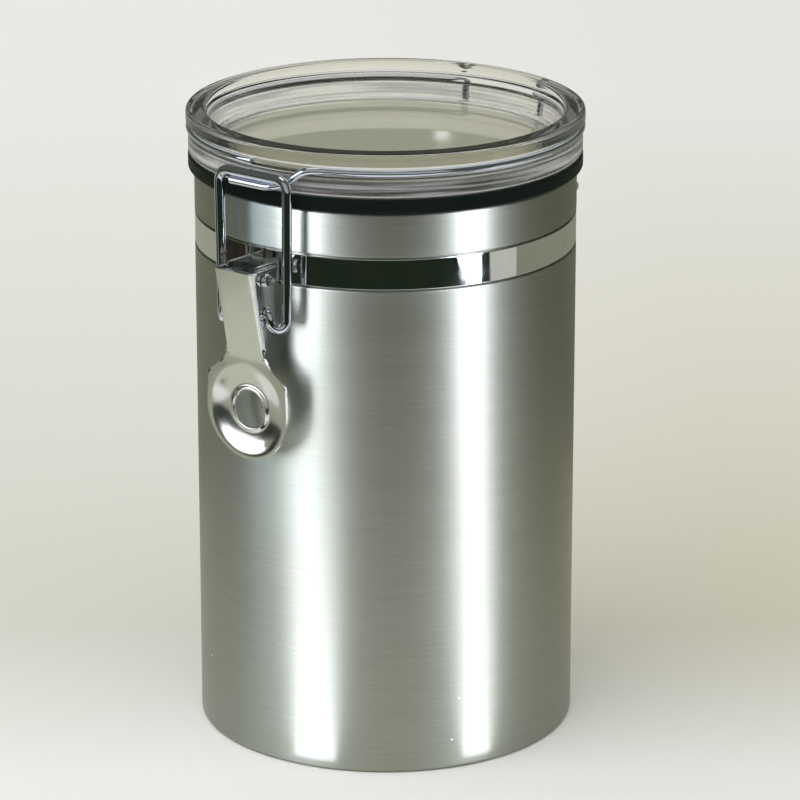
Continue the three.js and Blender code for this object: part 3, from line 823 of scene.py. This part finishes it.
def clear_plastic():
    """Clear moulding. The dish carries painted light, an olive tone for the lit can interior seen through
    it, and the skirt below the wire carries faint painted reflection streaks.
    """
    finish = Finish("clear plastic", {"IOR": 1.49})
    spot = finish.node("SeparateXYZ", {"Vector": finish.place(1, 1, 1)}).outputs
    reach = finish.sum_of(finish.product(spot["X"], spot["X"]), finish.product(spot["Y"], spot["Y"]))
    height = spot["Z"]
    # Painted light: an olive, less clear dish floor that stands in for the lit can interior seen through
    # the lid.
    painted_interior_light = finish.product(
        finish.ranged(reach, 50**2, 55**2, 1, 0),
        finish.ranged(height, LID_DISH_FLOOR - 1, LID_DISH_FLOOR - 0.5, 0, 1),
        finish.ranged(height, LID_DISH_FLOOR + 0.5, LID_DISH_FLOOR + 3, 1, 0),
    )
    # Painted reflection: faint pale bluish streaks in the skirt between the flange and the wire.
    streaks = finish.product(
        finish.ranged(finish.noise((45, 45, 1.1), detail=2), 0.4, 0.62, 0.15, 1),
        finish.ranged(reach, 60.5**2, 62**2, 0, 1),
        finish.ranged(height, LID_FLANGE_BOTTOM, LID_FLANGE_BOTTOM + 1.2, 0, 1),
        finish.ranged(height, LID_WIRE_Z - 2.5, LID_WIRE_Z - 1, 1, 0),
    )
    tone = finish.blended(painted_interior_light, (0.915, 0.91, 0.86, 1), (0.6, 0.6, 0.46, 1))
    finish.feed("Base Color", finish.blended(streaks, tone, (0.78, 0.8, 0.86, 1)))
    # The painted dish light and skirt reflections take the place of part of the transmission.
    dish_painted_light = finish.ranged(painted_interior_light, 0, 1, 0, 0.6)
    skirt_painted_reflection = finish.ranged(streaks, 0, 1, 0, 0.5)
    painted_light_share = finish.sum_of(dish_painted_light, skirt_painted_reflection, "MAXIMUM")
    finish.feed("Transmission Weight", finish.ranged(painted_light_share, 0, 1, 1, 0))
    scuff = finish.noise((14, 14, 5), detail=5, roughness=0.7)
    finish.feed("Roughness", finish.ranged(scuff, 0.4, 0.75, 0.03, 0.09))
    ripple = finish.noise((18, 18, 18), detail=0)
    finish.bump(ripple, 0.02, 1.0)
    return finish.material


# Each piece with its finish, the CAD node that it stands for, its body and its material slot

brushed = brushed_steel()
strap_steel = polished_steel("polished strap", 26, 0.05)
wire_steel = polished_steel("polished wire", 5, 0.004, tone=(0.69, 0.74, 0.85, 1))
pressed_steel = polished_steel("pressed polished sheet", 11, 0.006, 0.13, 0.19)
rubber = black_rubber()
clear = clear_plastic()


def dress(piece, material, node, body):
    piece.data.materials.clear()
    piece.data.materials.append(material)
    shade(piece)
    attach(piece, body)
    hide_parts(node)


HALF_TURN = Matrix.Rotation(math.pi, 4, "Z")
body = can()
dress(body, brushed, "canister_body", "canister")
strap = band()
dress(strap, strap_steel, "neck_band", "canister")
latch_plate = bracket("latch_plate", LATCH_BRACKET_HALF, PIVOT_A, LEVER_PIN_RADIUS, LATCH_EAR_TOP)
dress(latch_plate, pressed_steel, "latch_bracket", "canister")
hinge_plate = bracket(
    "hinge_plate", HINGE_BRACKET_HALF, HINGE, HINGE_PIN_RADIUS, HINGE_EAR_TOP, HALF_TURN)
dress(hinge_plate, pressed_steel, "hinge_bracket", "canister")
lever_axle = headed_pin(
    "lever_axle", PIVOT_A, LEVER_PIN_RADIUS, LEVER_PIN_HEAD,
    LEVER_HALF_WIDTH + GAP, LEVER_PIN_HALF, LEVER_PIN_EDGE)
dress(lever_axle, pressed_steel, "lever_pin", "canister")
hinge_axle = headed_pin(
    "hinge_axle", HINGE, HINGE_PIN_RADIUS, HINGE_PIN_END,
    HINGE_BRACKET_HALF + GAP, HINGE_PIN_HALF, HINGE_PIN_EDGE)
dress(hinge_axle, wire_steel, "hinge_pin", "canister")
paddle = thumb_lever()
dress(paddle, pressed_steel, "lever", "lever")
loop = bail_loop()
dress(loop, wire_steel, "bail", "bail")
shell = lid_shell()
dress(shell, clear, "lid", "lid")
dress(seal(), rubber, "gasket", "lid")
bow = lid_bow()
dress(bow, wire_steel, "lid_wire", "lid")
bright_pieces = [paddle, loop, shell, bow, lever_axle, hinge_axle]


# Studio: a pale floor with painted shade behind the can, soft light, and tall panels that the steel mirrors

CAMERA_AZIMUTH = 38
CAMERA_PLACE = Vector((807.8, -1034.0, 535.7))
CAMERA_AIM = Vector((-7.46, 17.12, 99.19))
CAMERA_LENS = 191.45
UP = Vector((0, 0, 1))
FAR = 6000
DOME_RADIUS = 9000
CARD_LIFT = 1
TOP_CARD_LIFT = 1.5
STRIP_LIFT = 2
STRIP_GAP = 3
LAMP_TOP = 900
LEFT_DISTANCE = 420
RIGHT_DISTANCE = 470
RIGHT_AZIMUTH = 97
NOTCH_GAP = 4

# Colours of light and of the grounds that the steel mirrors
COOL_LIGHT = (0.8, 0.84, 1)
BLUISH_LIGHT = (0.62, 0.76, 1)
CEILING_LIGHT = (0.95, 0.96, 1)
WINDOW_LIGHT = (0.97, 0.97, 1)
SPOT_LIGHT = (0.85, 0.93, 1)
WALL_LIGHT = (1, 1, 0.9)
ROOM_LIGHT = (0.10, 0.105, 0.085, 1)
STRIP_TONES = ((4.6, 4.75, 5.4, 1), (4.8, 4.95, 5.6, 1))
DARK_TONES = ((0.006, 0.018, 0.012, 1), (0.022, 0.026, 0.014, 1))
OLIVE_TONES = ((0.33, 0.335, 0.26, 1), (0.37, 0.375, 0.295, 1))
BROWN_TONES = ((0.012, 0.011, 0.008, 1), (0.04, 0.034, 0.026, 1))
BEIGE_TONES = ((0.5, 0.5, 0.44, 1), (0.6, 0.6, 0.54, 1))
PALE_OLIVE_TONES = ((0.52, 0.54, 0.42, 1), (0.56, 0.58, 0.46, 1))
DIM_TONES = ((0.23, 0.235, 0.175, 1), (0.27, 0.275, 0.205, 1))
DOME_TONES = ((0.76, 0.76, 0.745, 1), (0.8, 0.8, 0.785, 1))


def direction(azimuth):
    """Unit vector from the can's axis: 0 towards the latch, 90 towards +X."""
    angle = math.radians(azimuth)
    return Vector((math.sin(angle), -math.cos(angle), 0))


def stage_sheet(name, corners, material):
    """A flat sheet of the stage, from its corners."""
    mesh = bpy.data.meshes.new(name)
    mesh.from_pydata([Vector(c) * MM for c in corners], [], [tuple(range(len(corners)))])
    piece = bpy.data.objects.new(name, mesh)
    bpy.context.scene.collection.objects.link(piece)
    piece.data.materials.append(material)
    return piece


def pale_floor():
    """Pale paper with painted shade: darker and warmer in a wide band behind the can and darker towards the
    right, for the sweep's shading and the can's soft shadow.
    """
    finish = Finish("pale floor", {"Roughness": 0.9, "Specular IOR Level": 0.1})
    spot = finish.node("TexCoord").outputs["Object"]
    turn = {"Rotation": (0, 0, math.radians(-CAMERA_AZIMUTH)), "Scale": (1 / MM,) * 3}
    turned_spot = finish.node("Mapping", {"Vector": spot, **turn}).outputs["Vector"]
    axes = finish.node("SeparateXYZ", {"Vector": turned_spot}).outputs
    # Painted shade: the floor darkens towards the right, where the can's soft shadow falls.
    right = finish.ranged(axes["X"], -60, 130, 0, 1)
    near = finish.ranged(axes["Y"], -60, 70, 0, 1)
    far = finish.ranged(axes["Y"], 130, 820, 0, 1)
    front = finish.blended(right, (0.93, 0.922, 0.90, 1), (0.86, 0.86, 0.835, 1))
    painted_shade_band = finish.blended(right, (0.73, 0.723, 0.655, 1), (0.67, 0.64, 0.525, 1))
    back = finish.blended(right, (0.86, 0.85, 0.832, 1), (0.82, 0.82, 0.80, 1))
    finish.feed("Base Color", finish.blended(far, finish.blended(near, front, painted_shade_band), back))
    return finish.material


def glowing(name, size, low, high):
    """An even glow, with a faint unevenness of this size between two tones."""
    values = {"Base Color": (0, 0, 0, 1), "Specular IOR Level": 0, "Emission Strength": 1}
    finish = Finish(name, values)
    finish.feed("Emission Color", finish.blended(finish.noise((size, size, size)), low, high))
    return finish.material


def card_ground(name, tones):
    """Ground that only the steel's reflections see."""
    return glowing(name, 90, *tones)


def mirrored_only(piece):
    """Keeps a sheet of the stage to the reflections in the steel."""
    piece.visible_camera = False
    piece.visible_diffuse = False
    piece.visible_transmission = False
    piece.visible_shadow = False


def panel(name, centre, facing, width, height, radiance, colour):
    """A rectangle of even light that only shows in reflections."""
    light = bpy.data.lights.new(name, "AREA")
    light.shape = "RECTANGLE"
    light.size = width * MM
    light.size_y = height * MM
    light.energy = radiance * math.pi * width * height * MM * MM
    light.color = colour
    piece = bpy.data.objects.new(name, light)
    piece.location = Vector(centre) * MM
    piece.rotation_mode = "QUATERNION"
    piece.rotation_quaternion = Vector(facing).to_track_quat("-Z", "Y")
    piece.visible_camera = False
    piece.visible_transmission = False
    piece.visible_diffuse = False
    bpy.context.scene.collection.objects.link(piece)
    return piece


def upright(name, azimuth, distance, bottom, top, width, radiance, colour, shift=0):
    """A tall panel that the steel mirrors: it faces the can's axis, shifted along its own width."""
    out = direction(azimuth)
    centre = out * distance + direction(azimuth + 90) * shift + UP * (bottom + top) / 2
    return panel(name, centre, -out, width, top - bottom, radiance, colour)


def floor_strip(name, first, last, length):
    """A bright patch on the floor that the can mirrors between two of its azimuths."""
    def spot(azimuth, along):
        foot = direction(azimuth) * (BODY_RADIUS + STRIP_GAP) + UP * STRIP_LIFT
        return foot + direction(2 * azimuth - CAMERA_AZIMUTH) * along

    corners = [spot(first, 0), spot(last, 0), spot(last, length), spot(first, length)]
    piece = stage_sheet(name, corners, card_ground(name, STRIP_TONES))
    mirrored_only(piece)
    return piece


def only_on(lamp, *pieces):
    """Keeps a lamp's light to these pieces."""
    lit = bpy.data.collections.new(lamp.name + "_lit")
    for piece in pieces:
        lit.objects.link(piece)
    lamp.light_linking.receiver_collection = lit


def sky_light(name, azimuth, elevation, spread, strength):
    """Even light from one side, as soft as its spread in degrees, that the steel doesn't mirror."""
    light = bpy.data.lights.new(name, "SUN")
    light.angle = math.radians(spread)
    light.energy = strength
    piece = bpy.data.objects.new(name, light)
    lift = math.radians(elevation)
    towards = direction(azimuth) * math.cos(lift) + UP * math.sin(lift)
    piece.rotation_mode = "QUATERNION"
    piece.rotation_quaternion = (-towards).to_track_quat("-Z", "Y")
    piece.visible_glossy = False
    bpy.context.scene.collection.objects.link(piece)
    return piece


def cards():
    """Grounds round the can, as corners (towards the camera, to its right) from the can's axis."""
    dark = card_ground("dark ground", DARK_TONES)
    olive = card_ground("olive ground", OLIVE_TONES)
    brown = card_ground("brown ground", BROWN_TONES)
    beige = card_ground("beige ground", BEIGE_TONES)
    pale_olive = card_ground("pale olive ground", PALE_OLIVE_TONES)
    dim = card_ground("dim ground", DIM_TONES)
    front_corners = [(330, -FAR), (330, 340), (235, 430), (235, FAR), (FAR, FAR), (FAR, -FAR)]
    side_corners = [(150, -480), (2000, -FAR), (-250, -FAR), (-250, -480)]
    beige_corners = [(260, 500), (330, 610), (488, 900), (123, 938), (86, 509)]
    left_corners = [(330, -290), (330, -FAR), (-FAR, -FAR), (-FAR, -40), (-250, -40), (-100, -290)]
    near_corners = [(180, -150), (180, -290), (20, -290), (20, -150)]
    right_corners = [(235, 430), (-160, 250), (-300, 40), (-FAR, 40), (-FAR, FAR), (235, FAR)]
    layout = (
        ("front_card", dark, CARD_LIFT, front_corners),
        ("side_card", brown, TOP_CARD_LIFT, side_corners),
        ("beige_card", beige, TOP_CARD_LIFT, beige_corners),
        ("left_card", olive, CARD_LIFT, left_corners),
        ("near_card", pale_olive, CARD_LIFT, near_corners),
        ("right_card", dim, CARD_LIFT, right_corners),
    )
    ahead, aside = direction(CAMERA_AZIMUTH), direction(CAMERA_AZIMUTH + 90)
    for name, material, lift, corners in layout:
        places = [ahead * f + aside * s + UP * lift for f, s in corners]
        mirrored_only(stage_sheet(name, places, material))
    out = direction(RIGHT_AZIMUTH) * (RIGHT_DISTANCE - NOTCH_GAP)
    along = direction(RIGHT_AZIMUTH + 90)
    notch = [out + along * s + UP * z for s, z in ((-175, 24), (-175, 47), (-38, 33), (-38, 24))]
    mirrored_only(stage_sheet("notch", notch, dark))


def pale_dome():
    """A pale room far round the scene, which shows past the floor and through the lid."""
    mesh = bpy.data.meshes.new("dome")
    shape = bmesh.new()
    bmesh.ops.create_icosphere(shape, subdivisions=4, radius=DOME_RADIUS * MM)
    shape.to_mesh(mesh)
    shape.free()
    dome = bpy.data.objects.new("dome", mesh)
    bpy.context.scene.collection.objects.link(dome)
    dome.data.materials.append(glowing("pale dome", 3000, *DOME_TONES))
    dome.visible_diffuse = False
    dome.visible_glossy = False
    dome.visible_shadow = False


def lamps():
    """Lamps for the can's two streaks, for the bright small pieces and for the floor."""
    left_lamps = [
        upright("left_panel", -9.7, LEFT_DISTANCE, 70, LAMP_TOP, 162, 15, COOL_LIGHT, -4),
        upright("left_fill", -36, LEFT_DISTANCE, 6, LAMP_TOP, 120, 2.4, BLUISH_LIGHT),
        floor_strip("left_strip", 8, 22, 190),
    ]
    for lamp in left_lamps:
        only_on(lamp, body)
    right_lamps = [
        upright("right_panel", RIGHT_AZIMUTH, RIGHT_DISTANCE, 32, LAMP_TOP, 124, 15.5, COOL_LIGHT, -91),
        floor_strip("right_strip", 62.8, 72.7, 300),
    ]
    for lamp in right_lamps:
        only_on(lamp, body, strap)
    ceiling = panel("ceiling", (0, 0, 1600), -UP, 800, 800, 1.3, CEILING_LIGHT)
    only_on(ceiling, *bright_pieces)
    window = upright("window", -27, 1000, 118, 1000, 940, 2, WINDOW_LIGHT)
    only_on(window, paddle, bow)
    spot_place = Vector((-1173, 1574, 690))
    spot = panel("spot", spot_place, -spot_place, 11, 18, 4, SPOT_LIGHT)
    only_on(spot, shell)
    upright("front_wall", CAMERA_AZIMUTH, 2000, 5, 2500, 3000, 0.3, WALL_LIGHT)
    sky_light("key", -15, 48, 70, 0.78)
    sky_light("overhead", 0, 88, 140, 2.15)


def studio():
    floor_corners = [(-FAR, -FAR, 0), (FAR, -FAR, 0), (FAR, FAR, 0), (-FAR, FAR, 0)]
    stage_sheet("floor", floor_corners, pale_floor())
    cards()
    pale_dome()
    lamps()
    world = bpy.data.worlds.new("room")
    world.use_nodes = True
    world.node_tree.nodes["Background"].inputs["Color"].default_value = ROOM_LIGHT
    bpy.context.scene.world = world


def camera():
    data = bpy.data.cameras.new("camera")
    data.lens = CAMERA_LENS
    piece = bpy.data.objects.new("camera", data)
    piece.location = CAMERA_PLACE * MM
    piece.rotation_mode = "QUATERNION"
    piece.rotation_quaternion = (CAMERA_AIM - CAMERA_PLACE).to_track_quat("-Z", "Y")
    bpy.context.scene.collection.objects.link(piece)
    bpy.context.scene.camera = piece


studio()
camera()
bpy.context.scene.view_settings.view_transform = "Standard"
